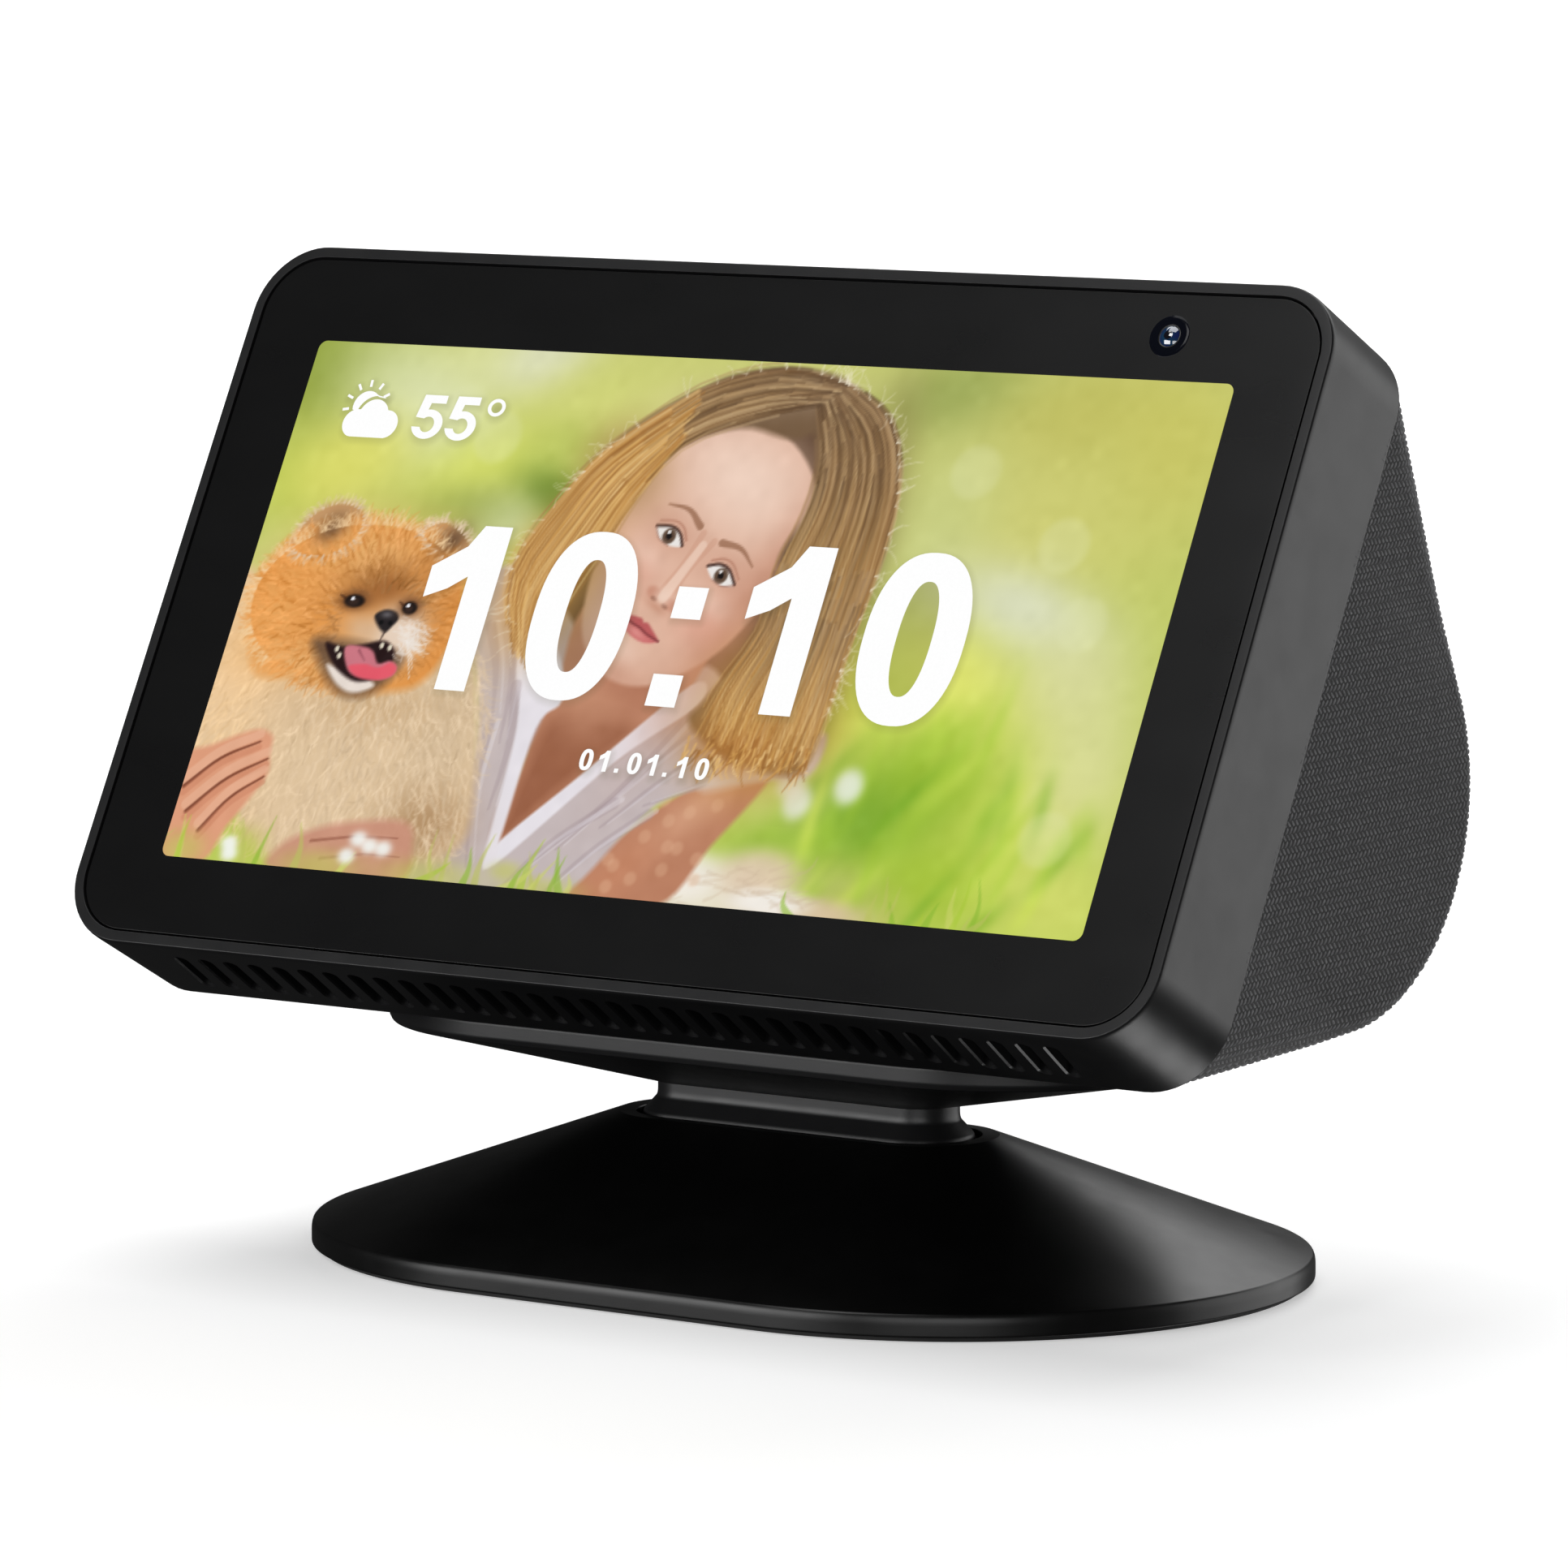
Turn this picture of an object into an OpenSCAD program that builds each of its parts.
// Smart display on a tilting stand: a fabric-backed screen on a weighted oval foot.
// Origin on the desk under the centre of the foot, +Z up, the screen faces -Y.

/* [Display] */
// Width of the display across its front
display_w = 148; // [140:1:156]
// Height of the front, measured along the screen
face_h = 88; // [84:1:92]
// Depth of the rim band behind the glass
band_d = 16; // [14:0.5:18]
// Corner radius of the front
corner_r = 8.5; // [6:0.5:10]
// Lean of the screen back from vertical, in degrees
face_tilt = 27.9; // [24:0.1:31]
// Height of the middle of the screen above the desk
face_z = 75.6; // [74:0.2:78]
// Distance of the middle of the screen in front of the foot's centre
face_y = 24.6; // [23:0.2:26]

/* [Screen] */
// Width of the lit picture
screen_w = 125.6; // [118:0.2:128]
// Height of the lit picture
screen_h = 65; // [60:0.5:68]
// Distance of the lens from the display's centre line
lens_x = 52.9; // [48:0.1:54]
// Height of the lens above the middle of the front
lens_v = 37.3; // [36.5:0.1:38]

/* [Rear body] */
// Radius of the round lower back
bulge_r = 25.4; // [23:0.1:26]
// Half the width of the back at its widest place
bulge_w = 71.6; // [70:0.2:73]
// Thickness of the fabric cover
fabric_t = 0.9; // [0.6:0.1:1.2]

/* [Stand] */
// Half the straight front edge of the foot
foot_l = 20; // [16:1:24]
// Radius of the foot's round ends
foot_r = 41.2; // [39:0.2:43]
// Height of the foot's upright edge band, with its pad
foot_band = 3.5; // [3:0.1:4]
// Height of the lip around the neck's opening
lip_z = 16; // [15.5:0.1:16.5]
// Half the straight length of the neck
neck_l = 15.5; // [14:0.5:17]
// Radius of the neck's round ends
neck_r = 4.6; // [4.4:0.1:5]
// Half the straight front edge of the dish under the display
dish_l = 28; // [26:1:30]
// Radius of the dish's round ends
dish_r = 25.7; // [24:0.5:27]

/* [Tilt hinge] */
// Height of the hinge pin above the desk
hinge_z = 14.6; // [14.4:0.1:14.8]
// Radius of the hinge pin
pin_r = 1.5; // [1.3:0.1:1.7]

/* [Controls] */
// Radius of the three top buttons
button_r = 3.2; // [2.8:0.1:3.6]
// Distance between neighbouring buttons
button_pitch = 14; // [11:1:18]
// Press travel of a button
button_travel = 0.5; // [0.4:0.1:0.6]
// Radius of the audio socket's bore
audio_r = 1.8; // [1.75:0.05:1.85]

/* [Hidden] */
$fa = 4;
$fs = 0.4;
eps = 0.01;
hull_fn = 48;

// vertical levels of the stand
pad_t = 0.6;
ballast_z = 1.7;
ballast_step = 4.2;
ballast_top = 6.2;
ballast_l = 14;
floor_top = 1.65;
dish_z = 26;
dish_top = 28.3;
dish_wall = 1.6;
cap_z = 26.8;
magnet_t = 2;
neck_z = 18.05;
neck_top = 19.5;
skirt_foot_z = 15.2;
skirt_r = 6.4;
opening_r = 7.1;
lip_l = 16;
lip_r = 8.7;
cone_foot_z = 3;
cover_t = 2.15;
hollow_foot_z = 1.63;
wall_foot = 2;
pad_top_t = 0.4;

// depths behind the front of the rim
glass_d = [0.15, 1.25];
frame_d = [1.4, 3];
panel_d = [1.3, 3];
light_d = [3.05, 5.05];
chassis_d = [5.2, 6.2];
board_d = [9, 10.4];
wall_t = 2.4;
top_v = face_h / 2;
wall_v = top_v - wall_t;

// rear body: the back wall runs from the band's top edge to the round lower back
bulge_y = 3.4;
bulge_z = 57;
back_gap = 0.1;
back_angle = 20.35;
back_top_y = 10.9;
back_top_z = 106.9;
speaker_s = 31;
speaker_y = back_top_y + speaker_s * sin(back_angle);
speaker_z = back_top_z - speaker_s * cos(back_angle);

// rear socket panel
socket_z = 42.5;
socket_w = 46;
socket_h = 12;
socket_y = 15;

// underside of the display
base_y = -9;
base_z = 29.2;

slot_n = 34;
slot_pitch = 3.6;
post_x = 66;
lug_d = 17.4;
tab_x = 68;
tab_v = [-20, 20];
post_v = [37.9, -38.2];

black = [0.07, 0.07, 0.075];
charcoal = [0.22, 0.22, 0.23];
steel = [0.62, 0.63, 0.65];
copper = [0.8, 0.5, 0.3];
green = [0.05, 0.25, 0.14];

// ---- shared shapes ----

// Flat stadium: half straight length l, end radius r
module stadium(l, r) {
    square([2 * l, 2 * r], center = true);
    for (s = [-1, 1]) translate([s * l, 0]) circle(r = r);
}

module slab(l, r, z0, z1) {
    translate([0, 0, z0]) linear_extrude(z1 - z0) stadium(l, r);
}

// Rectangle with round corners
module rrect(w, h, r) {
    square([w - 2 * r, h], center = true);
    square([w, h - 2 * r], center = true);
    for (x = [-1, 1], y = [-1, 1])
        translate([x * (w / 2 - r), y * (h / 2 - r)]) circle(r = r);
}

// Frame of the front: X across, Y behind the rim's front, Z up along the screen
module on_face() {
    translate([0, -face_y, face_z]) rotate([-face_tilt, 0, 0]) children();
}

// Plate in the front's frame, between two depths
module panel(w, h, r, d) {
    translate([0, d[1], 0]) rotate([90, 0, 0]) linear_extrude(d[1] - d[0]) rrect(w, h, r);
}

// Round bar in the front's frame, running into the depth
module deep_rod(x, v, r, d) {
    translate([x, d[1], v]) rotate([90, 0, 0]) cylinder(r = r, h = d[1] - d[0]);
}

// Block in the front's frame: ranges across, in depth and in height
module block(x, d, v) {
    translate([x[0], d[0], v[0]]) cube([x[1] - x[0], d[1] - d[0], v[1] - v[0]]);
}

// Pan-head screw pointing down -Z from its seat at z = 0
module screw(r, length, head_r, head_h) {
    difference() {
        union() {
            translate([0, 0, -length]) cylinder(r = r, h = length);
            cylinder(r = head_r, h = head_h);
        }
        for (a = [0, 90]) rotate([0, 0, a])
            translate([0, 0, head_h]) cube([head_r * 1.2, 0.4, head_h], center = true);
    }
}

// Frame of the speaker: Z points out through the back wall, zero on its outer face
module on_back() {
    translate([0, speaker_y, speaker_z]) rotate([-90 + back_angle, 0, 0]) children();
}

// ---- stand: foot ----

module foot_stack(inset, z_foot, z_top) {
    hull() {
        slab(foot_l, foot_r - inset, z_foot, cone_foot_z);
        slab(foot_l, foot_r - inset - 0.5, z_foot, foot_band);
        slab(lip_l, lip_r, z_top - eps, z_top);
    }
}

module cover_hollow() {
    hull() {
        slab(foot_l, foot_r - wall_foot, 0, hollow_foot_z);
        slab(lip_l, lip_r, lip_z - cover_t - eps, lip_z - cover_t);
    }
}

screw_seat = 1.1;
screw_l = 4;
screw_end = screw_seat + screw_l;
screw_spots = [for (x = [-46, 46], y = [-14, 14]) [x, y]];

module base_foot_pad() {
    color(black) slab(foot_l, foot_r - 1, 0, pad_t);
}

module base_floor() {
    color(black) difference() {
        slab(foot_l, foot_r - wall_foot - 0.1, pad_t, floor_top - 0.05);
        for (p = screw_spots) translate([p.x, p.y, 0]) {
            cylinder(r = 1.3, h = 3);
            cylinder(r = 2.3, h = screw_seat);
        }
    }
}

module ballast_plate() {
    color(steel) difference() {
        union() {
            slab(ballast_l, 31.4, ballast_z, ballast_step);
            slab(ballast_l, 26.4, ballast_step, ballast_top);
        }
        for (p = bracket_spots) translate([p.x, p.y, 2.5]) cylinder(r = 1.25, h = 5);
    }
}

module base_cover() {
    color(black) difference() {
        foot_stack(0, pad_t, lip_z);
        difference() {
            cover_hollow();
            for (p = screw_spots) translate([p.x, p.y, floor_top]) cylinder(r = 2.5, h = lip_z);
        }
        slab(neck_l, opening_r, 8, lip_z + 1);
        for (p = screw_spots) translate([p.x, p.y, 0]) cylinder(r = 1.05, h = screw_end + 0.3);
    }
}

module base_screws() {
    color(steel) for (p = screw_spots)
        translate([p.x, p.y, screw_seat]) rotate([180, 0, 0]) screw(1, screw_l, 2.1, 0.45);
}

// ---- stand: tilt hinge ----

bracket_spots = [for (x = [-17.5, 17.5], y = [-7.5, 7.5]) [x, y]];
bracket_t = 1.5;
ear_x = [13, 15];
ear_r = 2.7;
barrel_x = 12.4;
clip_x = 16.25;
leaf_spots = [for (x = [-16, 16], y = [-4.5, 4.5]) [x, y]];
leaf_z = 22.05;
leaf_t = 1.4;
tongue_l = 13;
tongue_r = 1.6;

module hinge_bar(r, x0, x1) {
    translate([x0, 0, hinge_z]) rotate([0, 90, 0]) cylinder(r = r, h = x1 - x0);
}

module hinge_bracket() {
    color(steel) difference() {
        union() {
            translate([-20, -10, ballast_top]) cube([40, 20, bracket_t]);
            for (s = [-1, 1]) {
                hinge_bar(ear_r, s > 0 ? ear_x[0] : -ear_x[1], s > 0 ? ear_x[1] : -ear_x[0]);
                translate([s > 0 ? ear_x[0] : -ear_x[1], -ear_r, 7])
                    cube([ear_x[1] - ear_x[0], 2 * ear_r, hinge_z - 7]);
            }
        }
        hinge_bar(pin_r + 0.01, -25, 25);
        for (p = bracket_spots) translate([p.x, p.y, 5]) cylinder(r = 1.3, h = 5);
    }
}

module hinge_pin() {
    color(steel) difference() {
        hinge_bar(pin_r, -17.4, 17.4);
        for (s = [-1, 1]) translate([s * clip_x, 0, hinge_z]) rotate([0, 90, 0]) difference() {
            cylinder(r = 3, h = 0.6, center = true);
            cylinder(r = 1.15, h = 1, center = true);
        }
    }
}

module hinge_clips() {
    color(steel) for (s = [-1, 1])
        translate([s * clip_x, 0, hinge_z]) rotate([0, 90, 0]) difference() {
            cylinder(r = 2.8, h = 0.5, center = true);
            cylinder(r = 1.2, h = 1, center = true);
            translate([1.6, 0, 0]) cube([3.2, 1.7, 1], center = true);
        }
}

washer_x = [-ear_x[1] - 0.53, -ear_x[0] + 0.03, barrel_x + 0.07, ear_x[1] + 0.03];

module friction_washers() {
    color(copper) for (x = washer_x) difference() {
        hinge_bar(2.6, x, x + 0.5);
        hinge_bar(pin_r + 0.02, x - 1, x + 2);
    }
}

module bracket_screws() {
    color(steel) for (p = bracket_spots)
        translate([p.x, p.y, ballast_top + bracket_t]) screw(1.2, 4, 2.2, 1.1);
}

module hinge_leaf() {
    color(steel) difference() {
        union() {
            hinge_bar(2.6, -barrel_x, barrel_x);
            translate([-barrel_x, -1, hinge_z]) cube([2 * barrel_x, 2, leaf_z + 0.35 - hinge_z]);
            translate([-19, -7, leaf_z]) cube([38, 14, leaf_t]);
        }
        hinge_bar(pin_r + 0.05, -30, 30);
        for (p = leaf_spots) translate([p.x, p.y, 20]) cylinder(r = 1.3, h = 5);
    }
}

// ---- stand: neck and dish ----

module neck_shell() {
    color(charcoal) difference() {
        union() {
            slab(neck_l, neck_r, neck_z, neck_top);
            hull() {
                slab(neck_l, skirt_r, skirt_foot_z, skirt_foot_z + 0.9);
                slab(neck_l, neck_r - 0.25, neck_z - eps, neck_z);
            }
        }
        hull() {
            slab(neck_l, skirt_r - 1.1, skirt_foot_z - 1, skirt_foot_z + 0.4);
            slab(neck_l, neck_r - 1.3, neck_z - eps, neck_z + 0.2);
        }
        slab(tongue_l, tongue_r, neck_z - 1, neck_top + 1.5);
    }
}

module dish_body(inset, z_low) {
    hull() {
        slab(neck_l, neck_r, z_low, z_low + eps);
        slab(dish_l, dish_r - inset, z_low + dish_z - neck_top, dish_top + inset * 2);
    }
}

module dish_shell() {
    color(charcoal) difference() {
        union() {
            difference() {
                dish_body(0, neck_top);
                dish_body(dish_wall, neck_top + 1.65);
            }
            for (p = leaf_spots) translate([p.x, p.y, 20.4]) cylinder(r = 2.1, h = 1.6);
        }
        for (p = leaf_spots) translate([p.x, p.y, 20.8]) cylinder(r = 1.05, h = 3);
        slab(tongue_l, tongue_r, neck_z, leaf_z + 1);
        slab(dish_l, dish_r - dish_wall, cap_z, 30);
    }
}

module leaf_screws() {
    color(steel) for (p = leaf_spots)
        translate([p.x, p.y, leaf_z + leaf_t]) screw(1, 2.5, 1.9, 0.8);
}

module plate_magnets() {
    color(steel) for (p = [[-30, 0], [30, 0], [-15, 9.5], [15, 9.5], [-15, -9.5], [15, -9.5]])
        translate([p.x, p.y, cap_z - magnet_t]) cylinder(r = 5, h = magnet_t);
}

module plate_cap() {
    color(charcoal) slab(dish_l, dish_r - dish_wall - 0.1, cap_z + 0.05, dish_top);
}

module plate_pad() {
    color(black) slab(dish_l, dish_r - 3, dish_top, dish_top + pad_top_t);
}

// ---- display: front ----

button_x = [for (i = [-1:1]) i * button_pitch];
button_d = 8;
slider_travel = 8;
slider_x = lens_x + 7;
mic_x = 28;
rim_w = 1.55;
rim_gap = 0.1;
screen_at = [0.15, 0, -0.5];
slot_d = 8.2;
slot_slant = 12.4;
slot_l = 4;
slot_r = 0.8;

module chin_slots() {
    for (i = [0:slot_n - 1])
        translate([(i - (slot_n - 1) / 2) * slot_pitch, slot_d, -top_v - 1])
            rotate([0, 0, slot_slant + 90]) linear_extrude(wall_t + 2) stadium(slot_l, slot_r);
}

module front_housing() {
    color(charcoal) on_face() difference() {
        union() {
            difference() {
                panel(display_w, face_h, corner_r, [0, band_d]);
                panel(display_w - 2 * rim_w, face_h - 2 * rim_w, corner_r - 1.5, [-1, frame_d[0]]);
                panel(display_w - 2 * wall_t, face_h - 2 * wall_t, 6.1, [frame_d[1], band_d + 1]);
            }
            for (s = [-1, 1], v = post_v) deep_rod(s * post_x, v, 2.6, [2.5, band_d]);
            for (s = [-1, 1], v = tab_v) deep_rod(s * tab_x, v, 2.1, [2.5, chassis_d[0] - 0.02]);
            for (s = [-1, 1], v = post_v) block(
                [s > 0 ? post_x : -72.5, s > 0 ? 72.5 : -post_x], [2.5, band_d], [v - 1, v + 1]);
        }
        panel(131, 69.5, 1.5, [0, 4]);
        for (s = [-1, 1], v = post_v) deep_rod(s * post_x, v, 1.05, [6, band_d + 1]);
        for (s = [-1, 1], v = tab_v) deep_rod(s * tab_x, v, 0.92, [3.2, 6]);
        // opening for the lens and the shutter's blade
        block([lens_x - 4, lens_x + 13], [0, 4], [lens_v - 3.5, wall_v]);
        block([slider_x - slider_travel - 2.6, slider_x + 2.6], [6.4, 9.6], [wall_v - 1, top_v + 1]);
        deep_rod(0, lens_v, 1.4, [0, 4]);
        for (x = button_x) translate([x, button_d, wall_v - 1]) cylinder(r = button_r + 0.12, h = 5);
        for (s = [-1, 1]) translate([s * mic_x, button_d, wall_v - 1]) cylinder(r = 0.5, h = 5);
        chin_slots();
    }
}

module cover_glass() {
    color(black) on_face()
        panel(display_w - 2 * rim_w - 2 * rim_gap, face_h - 2 * rim_w - 2 * rim_gap, corner_r - 1.6,
            glass_d);
}

module glass_adhesive() {
    color(black) on_face() difference() {
        panel(display_w - 4, face_h - 4, corner_r - 2, [glass_d[1], frame_d[0]]);
        panel(132, 70, 1.5, [0, 4]);
        block([lens_x - 4, lens_x + 13], [0, 4], [lens_v - 3.5, top_v - 1.9]);
        deep_rod(0, lens_v, 1.5, [0, 4]);
    }
}

module lcd_panel() {
    color([0.75, 0.8, 0.45]) on_face() translate(screen_at)
        panel(screen_w + 4.4, screen_h + 3, 1, panel_d);
}

module backlight_unit() {
    color([0.9, 0.9, 0.9]) on_face() translate(screen_at) difference() {
        panel(screen_w + 4.9, screen_h + 3.5, 1, light_d);
        panel(screen_w, screen_h, 1, [light_d[1] - 0.6, light_d[1] + 1]);
    }
}

chassis_spots = [for (x = [-50, 50], v = [-29.5, 23]) [x, v]];

module screen_chassis() {
    color(steel) on_face() difference() {
        union() {
            panel(126, 76, 3, chassis_d);
            for (v = tab_v) block([-70.3, 70.3], chassis_d, [v - 2.2, v + 2.2]);
            for (p = chassis_spots) deep_rod(p.x, p[1], 2.6, [chassis_d[1] - 0.1, board_d[0]]);
        }
        block([lens_x - 8, lens_x + 20], [0, 8], [33, 45]);
        for (p = chassis_spots) deep_rod(p.x, p[1], 1.05, [6.5, 12]);
        for (s = [-1, 1], v = tab_v) deep_rod(s * tab_x, v, 1, [5, 7]);
        for (x = [-32, 32]) translate([x, 4, 0]) rotate([-90, 0, 0])
            linear_extrude(4) rrect(26, 34, 3);
    }
}

module chassis_screws() {
    color(steel) on_face() for (s = [-1, 1], v = tab_v)
        translate([s * tab_x, chassis_d[1], v]) rotate([-90, 0, 0]) screw(0.9, 2.8, 1.7, 0.7);
}

// ---- display: camera, sensor and controls ----

module camera_lens() {
    color([0.1, 0.12, 0.3]) on_face() {
        difference() {
            deep_rod(lens_x, lens_v, 2.9, [2.3, 3.1]);
            deep_rod(lens_x, lens_v, 1.35, [2, 4]);
        }
        translate([lens_x, 2.75, lens_v]) rotate([90, 0, 0]) cylinder(r = 1.34, h = 0.6, center = true);
    }
}

module camera_barrel() {
    color(black) on_face() difference() {
        union() {
            deep_rod(lens_x, lens_v, 3, [3.15, 5.4]);
            block([lens_x - 4, lens_x + 4], [5.4, 7.2], [lens_v - 4, lens_v + 3.1]);
        }
        deep_rod(lens_x, lens_v, 1.2, [3, 6.6]);
    }
}

module camera_board() {
    color(green) on_face()
        block([lens_x - 5.5, lens_x + 4.8], [7.25, 8.1], [lens_v - 5.5, lens_v + 3.1]);
}

module light_sensor() {
    color(black) on_face() {
        deep_rod(0, lens_v, 1.2, [1.45, 3.2]);
        block([-2, 2], [3.2, 4.4], [lens_v - 1.8, lens_v + 1.8]);
    }
}

module shutter_slider() {
    color(charcoal) on_face() {
        block([slider_x - 2, slider_x + 2], [7, 9], [wall_v - 0.9, top_v + 0.4]);
        block([slider_x - 4, slider_x + 4], [6, 10], [top_v + 0.05, top_v + 0.6]);
        for (i = [-2:2]) block([slider_x + i * 1.3 - 0.2, slider_x + i * 1.3 + 0.2], [6.2, 9.8],
            [top_v + 0.5, top_v + 0.85]);
        block([slider_x - 2, slider_x + 2], [1.5, 9], [wall_v - 0.9, wall_v - 0.2]);
        block([slider_x - 3, slider_x + 3], [1.5, 2], [lens_v - 3, wall_v - 0.2]);
    }
}

module push_button(i) {
    color(charcoal) on_face() translate([button_x[i], button_d, 0]) {
        translate([0, 0, wall_v - 0.4]) cylinder(r = button_r, h = wall_t + 0.9);
        translate([0, 0, wall_v - 1.3]) cylinder(r = button_r + 0.9, h = 1.25);
        translate([0, 0, wall_v - 1.6]) cylinder(r = 1, h = 0.5);
    }
}

module mute_button() {
    difference() {
        push_button(0);
        on_face() translate([button_x[0], button_d, top_v + 0.35]) difference() {
            cylinder(r = 1.7, h = 1);
            cylinder(r = 1.25, h = 3, center = true);
        }
    }
}

module volume_down_button() {
    difference() {
        push_button(1);
        on_face() translate([button_x[1], button_d, top_v + 0.85])
            cube([2.8, 0.5, 1], center = true);
    }
}

module volume_up_button() {
    difference() {
        push_button(2);
        on_face() translate([button_x[2], button_d, top_v + 0.85]) {
            cube([2.8, 0.5, 1], center = true);
            cube([0.5, 2.8, 1], center = true);
        }
    }
}

switch_v = wall_v - 1.6 - button_travel - 0.05;

module button_board() {
    color(green) on_face() block([-33, 33], [6.6, 12.4], [switch_v - 1.8, switch_v - 0.9]);
}

module tact_switches() {
    color(steel) on_face() for (x = button_x) translate([x, button_d + 0.6, 0]) {
        block([-2, 2], [-1.9, 1.9], [switch_v - 0.9, switch_v - 0.3]);
        translate([0, -0.6, switch_v - 0.3]) cylinder(r = 0.9, h = 0.3);
    }
}

module microphones() {
    color([0.75, 0.7, 0.5]) on_face() for (s = [-1, 1])
        block([s * mic_x - 1.6, s * mic_x + 1.6], [6.8, 9.4], [switch_v - 0.9, switch_v + 0.2]);
}

// ---- display: electronics ----

module main_board() {
    color(green) on_face() difference() {
        translate([0, 0, -4]) panel(112, 62, 2, board_d);
        for (p = chassis_spots) deep_rod(p.x, p[1], 1.2, [8, 12]);
        block([-24, 24], [8, 12], [9, 30]);
    }
}

module board_shield() {
    color(steel) on_face() difference() {
        block([-42, -18], [6.9, board_d[0]], [-22, 2]);
        block([-41.6, -18.4], [7.3, board_d[0] + 1], [-21.6, 1.6]);
    }
}

module heat_spreader() {
    color(steel) on_face() difference() {
        block([-46, 46], [board_d[1] + 0.05, 12], [-26, 6]);
        for (i = [0:10]) block([-44 + i * 8, -40 + i * 8], [board_d[1] + 0.8, 13], [-24, 4]);
    }
}

module board_screws() {
    color(steel) on_face() for (p = chassis_spots)
        translate([p.x, board_d[1], p[1]]) rotate([-90, 0, 0]) screw(1, 3, 1.9, 0.9);
}

module display_flex() {
    color(copper) on_face() {
        block([-10, 10], [5.2, 5.4], [-40.5, -38.2]);
        block([-10, 10], [5.2, 8.9], [-40.7, -40.5]);
        block([-10, 10], [8.7, 8.9], [-40.7, -31]);
    }
}

module wifi_antenna() {
    color(copper) on_face() for (s = [-1, 1])
        block([s > 0 ? 70.9 : -71.4, s > 0 ? 71.4 : -70.9], [5, 13], [-15, 15]);
}

// ---- display: speaker ----

basket_z = [-6.6, -5.3];
magnet_z = [-20.8, -13.1];

module speaker_basket() {
    color(charcoal) on_back() difference() {
        union() {
            translate([0, 0, basket_z[0]]) cylinder(r = 21.5, h = basket_z[1] - basket_z[0]);
            translate([0, 0, -13]) cylinder(r1 = 13.6, r2 = 20.2, h = 13 + basket_z[0] + eps);
        }
        translate([0, 0, -12]) cylinder(r1 = 12, r2 = 19.6, h = 12 + basket_z[1] + eps);
        translate([0, 0, -14]) cylinder(r = 7, h = 5);
    }
}

module speaker_magnet() {
    color(steel) on_back() difference() {
        translate([0, 0, magnet_z[0]]) cylinder(r = 14, h = magnet_z[1] - magnet_z[0]);
        translate([0, 0, magnet_z[0] + 2]) difference() {
            cylinder(r = 6.6, h = 10);
            cylinder(r = 5, h = 30, center = true);
        }
    }
}

module speaker_cone() {
    color(black) on_back() rotate_extrude()
        polygon([[0, -9.4], [5, -9.4], [5.6, -11.4], [6.2, -11.4], [6.2, -10.2], [15.8, -5.5],
            [15.8, -4.9], [6, -8.6], [5, -7.4], [0, -6.6]]);
}

module speaker_surround() {
    color(black) on_back() rotate_extrude() {
        translate([17.6, basket_z[1]]) difference() {
            circle(r = 1.5);
            circle(r = 1.1);
            translate([-3, -4]) square([6, 4]);
        }
    }
}

module speaker_chamber() {
    color(black) on_back() difference() {
        translate([0, 0, -22.4]) cylinder(r = 21.8, h = 22.4 + basket_z[0] - 0.05);
        translate([0, 0, -21.2]) cylinder(r = 20.6, h = 22);
    }
}

module speaker_screws() {
    color(steel) on_back() for (a = [45:90:359]) rotate([0, 0, a])
        translate([20.6, 0, basket_z[1]]) cylinder(r = 0.8, h = 0.8);
}

// ---- display: rear body ----

module back_form(inset, d) {
    hull() {
        on_face() panel(display_w - 2 * (back_gap + inset), face_h - 2 * (back_gap + inset),
            corner_r - inset, d);
        translate([0, bulge_y, bulge_z]) rotate([0, 90, 0])
            for (k = [[0, 3], [0.9, 0.9], [3, 0]])
                cylinder(r = bulge_r - k[0] - inset, h = 2 * (bulge_w - k[1] - inset),
                    center = true, $fn = hull_fn * 2);
    }
}

// Hollow skin of the rear body, cut off where the rim band begins
module back_skin(outer, inner) {
    difference() {
        back_form(outer, [band_d - 0.6, band_d - 0.5]);
        back_form(inner, [band_d - 2, band_d - 0.5]);
        on_face() block([-80, 80], [0, band_d + 0.05], [-70, 60]);
    }
}

module socket_prism(inset, y0) {
    translate([0, 60, socket_z]) rotate([90, 0, 0]) linear_extrude(60 - y0)
        rrect(socket_w - 2 * inset, socket_h - 2 * inset, 4 - inset);
}

module base_prism(inset, z0, z1) {
    translate([0, base_y, z0]) linear_extrude(z1 - z0)
        rrect(91 - 2 * inset, 31 - 2 * inset, 6 - inset);
}

module rear_shell() {
    color(black) difference() {
        union() {
            back_skin(fabric_t + 0.1, fabric_t + 2.3);
            on_face() for (s = [-1, 1], v = post_v) {
                deep_rod(s * post_x, v, 2.6, [band_d + 0.05, band_d + 2]);
                block([s > 0 ? post_x : -71, s > 0 ? 71 : -post_x],
                    [band_d + 0.05, band_d + 2], [v - 1.8, v + 1.8]);
            }
        }
        on_face() for (s = [-1, 1], v = post_v) {
            deep_rod(s * post_x, v, 1.2, [10, 30]);
            deep_rod(s * post_x, v, 2.3, [lug_d, 40]);
        }
        socket_prism(0, socket_y - 3);
        base_prism(0, 20, 36);
        on_back() for (i = [-5:5], j = [-5:5]) {
            x = 3.4 * i + 1.7 * (j % 2 == 0 ? 0 : 1);
            y = 2.95 * j;
            if (norm([x, y]) < 16) translate([x, y, -8]) cylinder(r = 1.15, h = 12);
        }
    }
}

module shell_screws() {
    color(steel) on_face() for (s = [-1, 1], v = post_v)
        translate([s * post_x, lug_d, v]) rotate([-90, 0, 0]) screw(1, 7, 2, 1);
}

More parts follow.
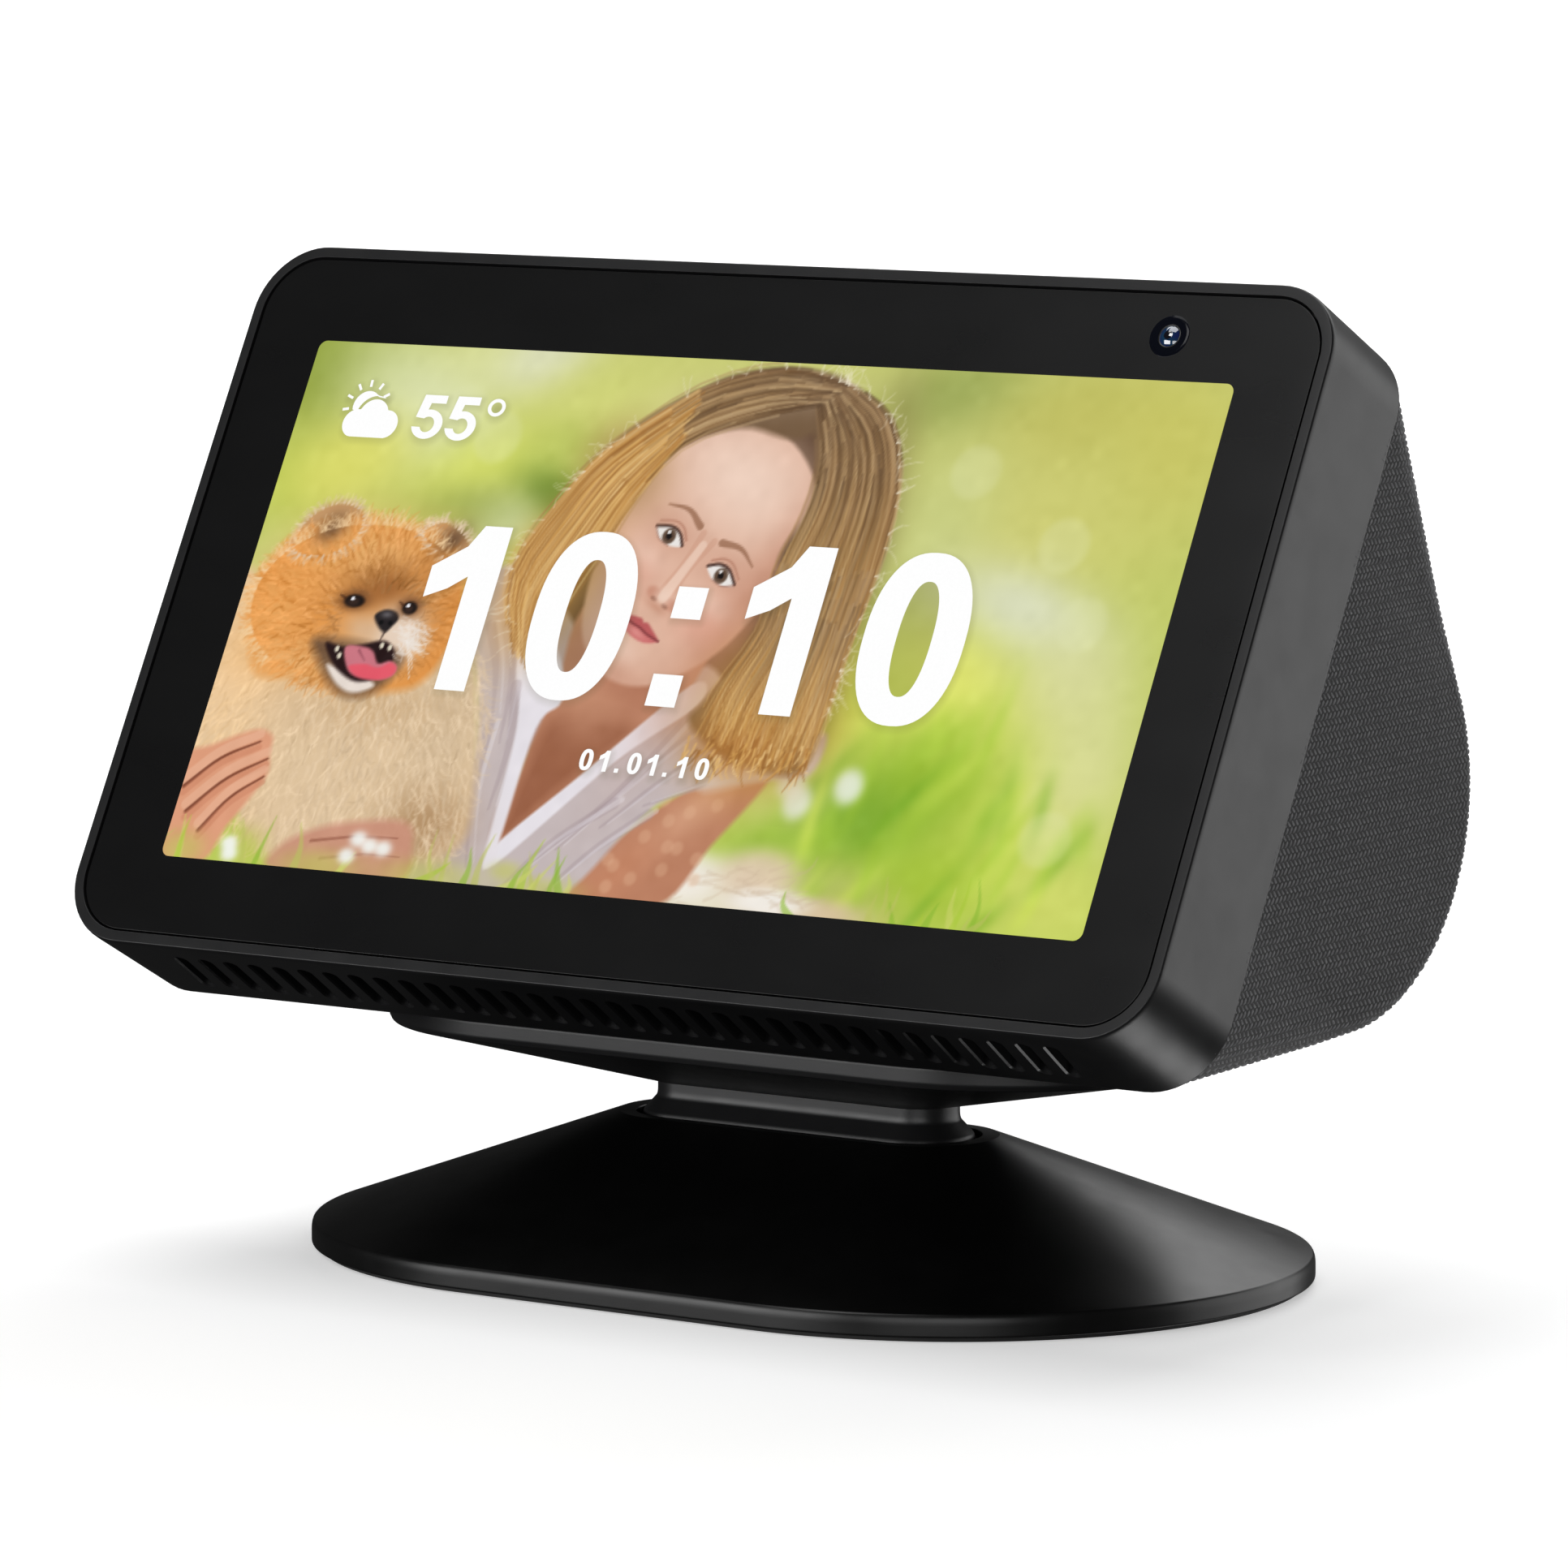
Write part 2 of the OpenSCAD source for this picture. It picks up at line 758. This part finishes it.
module fabric_cover() {
    color([0.2, 0.2, 0.21]) difference() {
        back_skin(0, fabric_t);
        socket_prism(0.05, socket_y - 3);
        base_prism(0.05, 20, 36);
    }
}

bottom_t = 2;
bottom_seat = 1;
bottom_screw_x = 36;
strike_z = base_z + bottom_t + 0.02;
strike_t = 1.2;

module bottom_cover() {
    color(black) difference() {
        base_prism(0.15, base_z, base_z + bottom_t);
        for (s = [-1, 1]) translate([s * bottom_screw_x, base_y, base_z - 1]) {
            cylinder(r = 1.3, h = 5);
            cylinder(r = 2.4, h = bottom_seat + 1);
        }
    }
}

module bottom_screws() {
    color(steel) for (s = [-1, 1])
        translate([s * bottom_screw_x, base_y, base_z + bottom_seat])
            rotate([180, 0, 0]) screw(1.25, 2.2, 2.2, 0.9);
}

module bottom_foot() {
    color(black) translate([0, base_y, dish_top + pad_top_t])
        linear_extrude(base_z - dish_top - pad_top_t) rrect(84, 25, 5);
}

module strike_plate() {
    color(steel) translate([0, base_y, strike_z]) linear_extrude(strike_t) difference() {
        rrect(80, 24, 3);
        for (s = [-1, 1]) translate([s * bottom_screw_x, 0]) circle(r = 1.3);
    }
}

// ---- display: sockets ----

power_x = -13;
audio_x = 13;
power_r = 2.75;

// Round hole for a plug, running back from y0
module socket_bore(x, y0, r) {
    translate([x, y0, socket_z]) rotate([-90, 0, 0]) cylinder(r = r, h = 60);
}

module socket_panel() {
    color(black) difference() {
        intersection() {
            socket_prism(0.15, socket_y);
            back_form(0.2, [band_d, band_d + 0.1]);
        }
        socket_prism(1.3, socket_y + 1.4);
        socket_bore(power_x, 0, 3.4);
        socket_bore(audio_x, 0, 2.6);
        translate([-4.2, 10, socket_z - 1.7]) cube([8.4, 20, 3.4]);
    }
}

module socket_board() {
    color(green) translate([-21, -2, socket_z - 7]) cube([42, 10.7, 1.2]);
}

module power_jack() {
    color(black) difference() {
        translate([power_x - 4.5, 2.6, socket_z - 5.75]) cube([9, 12.3, 10]);
        socket_bore(power_x, 5.5, power_r);
    }
    color(steel) translate([power_x, 5, socket_z]) rotate([-90, 0, 0]) cylinder(r = 0.85, h = 8.6);
}

module audio_jack() {
    color(black) difference() {
        translate([audio_x - 3.5, 2.4, socket_z - 5.75]) cube([7, 12.5, 9]);
        socket_bore(audio_x, 2, audio_r);
    }
}

module usb_port() {
    color(steel) difference() {
        translate([-3.9, 9, socket_z - 5.75]) cube([7.8, 5.9, 7.2]);
        translate([-3.4, 10, socket_z - 0.9]) cube([6.8, 8, 1.8]);
    }
}

base_foot_pad();
base_floor();
ballast_plate();
base_cover();
base_screws();
hinge_bracket();
hinge_pin();
hinge_clips();
friction_washers();
bracket_screws();
hinge_leaf();
leaf_screws();
neck_shell();
dish_shell();
plate_magnets();
plate_cap();
plate_pad();
front_housing();
cover_glass();
glass_adhesive();
lcd_panel();
backlight_unit();
screen_chassis();
chassis_screws();
camera_lens();
camera_barrel();
camera_board();
light_sensor();
shutter_slider();
mute_button();
volume_down_button();
volume_up_button();
button_board();
tact_switches();
microphones();
main_board();
board_shield();
heat_spreader();
board_screws();
display_flex();
wifi_antenna();
speaker_basket();
speaker_magnet();
speaker_cone();
speaker_surround();
speaker_chamber();
speaker_screws();
rear_shell();
shell_screws();
fabric_cover();
bottom_cover();
bottom_screws();
bottom_foot();
strike_plate();
socket_panel();
socket_board();
power_jack();
audio_jack();
usb_port();
